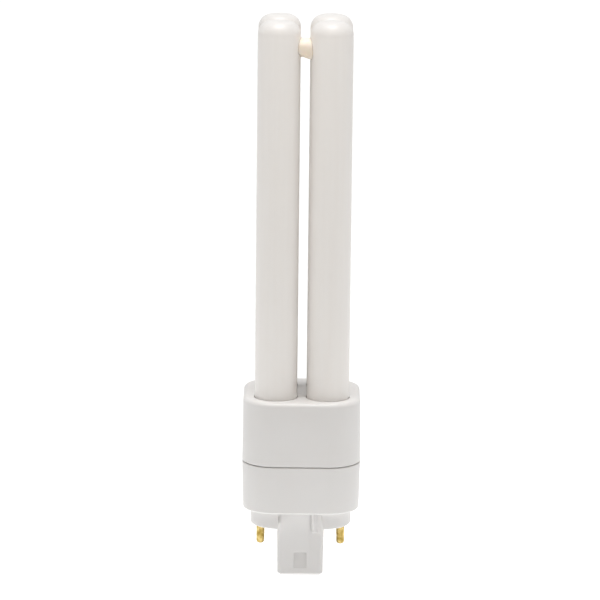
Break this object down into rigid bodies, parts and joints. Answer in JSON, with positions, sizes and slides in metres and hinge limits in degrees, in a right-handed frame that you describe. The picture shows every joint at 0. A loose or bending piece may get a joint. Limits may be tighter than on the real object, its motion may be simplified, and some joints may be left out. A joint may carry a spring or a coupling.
{
  "type": "led plug-in lamp",
  "caption": "LED plug-in lamp with frosted tubes in a square bundle, a two-part moulded housing and a keyed plug base with brass contact pins, pushed into a lampholder to give light.",
  "frame": {"origin": "on the lamp's axis in the seating plane, the flat underside of the collar, midway between the four contact pins", "axes": "+Z along the lamp from the plug base to the tube tips, +X to the right of the keyed front, -Y towards the front"},
  "size_m": [0.0352, 0.0352, 0.1676],
  "materials": {
    "frosted_tube": "frosted opal, satin",
    "housing_plastic": "fine moulded satin",
    "silicone": "cured, soft sheen",
    "pin_brass": "turned, bright",
    "strip_laminate": "white solder mask",
    "diode_phosphor": "phosphor gel",
    "board_laminate": "green solder mask",
    "wire_insulation": "smooth",
    "plated_steel": "bright plated",
    "transformer_ferrite": "ferrite, matt",
    "capacitor_sleeve": "shrunk sleeve",
    "film_case": "smooth case",
    "moulded_epoxy": "moulded",
    "resistor_coat": "flameproof coat"
  },
  "bodies": {
    "root": {"base_cap": "housing_plastic", "board_screw": "plated_steel", "bridge_rectifier": "moulded_epoxy", "choke": "transformer_ferrite", "contact_pin_front_left": "pin_brass", "contact_pin_front_right": "pin_brass", "contact_pin_rear_left": "pin_brass", "contact_pin_rear_right": "pin_brass", "control_chip": "moulded_epoxy", "diode_row_front_left": "diode_phosphor", "diode_row_front_right": "diode_phosphor", "diode_row_rear_left": "diode_phosphor", "diode_row_rear_right": "diode_phosphor", "driver_board": "board_laminate", "film_capacitor": "film_case", "front_bond": "silicone", "fusible_resistor": "resistor_coat", "lead_wire_front_left": "wire_insulation", "lead_wire_front_right": "wire_insulation", "lead_wire_rear_left": "wire_insulation", "lead_wire_rear_right": "wire_insulation", "light_strip_front_left": "strip_laminate", "light_strip_front_right": "strip_laminate", "light_strip_rear_left": "strip_laminate", "light_strip_rear_right": "strip_laminate", "link_pins": "plated_steel", "rear_bond": "silicone", "reservoir_capacitor": "capacitor_sleeve", "strip_board": "board_laminate", "transformer": "transformer_ferrite", "tube_front_left": "frosted_tube", "tube_front_right": "frosted_tube", "tube_rear_left": "frosted_tube", "tube_rear_right": "frosted_tube", "upper_housing": "housing_plastic"}
  },
  "joints": []
}
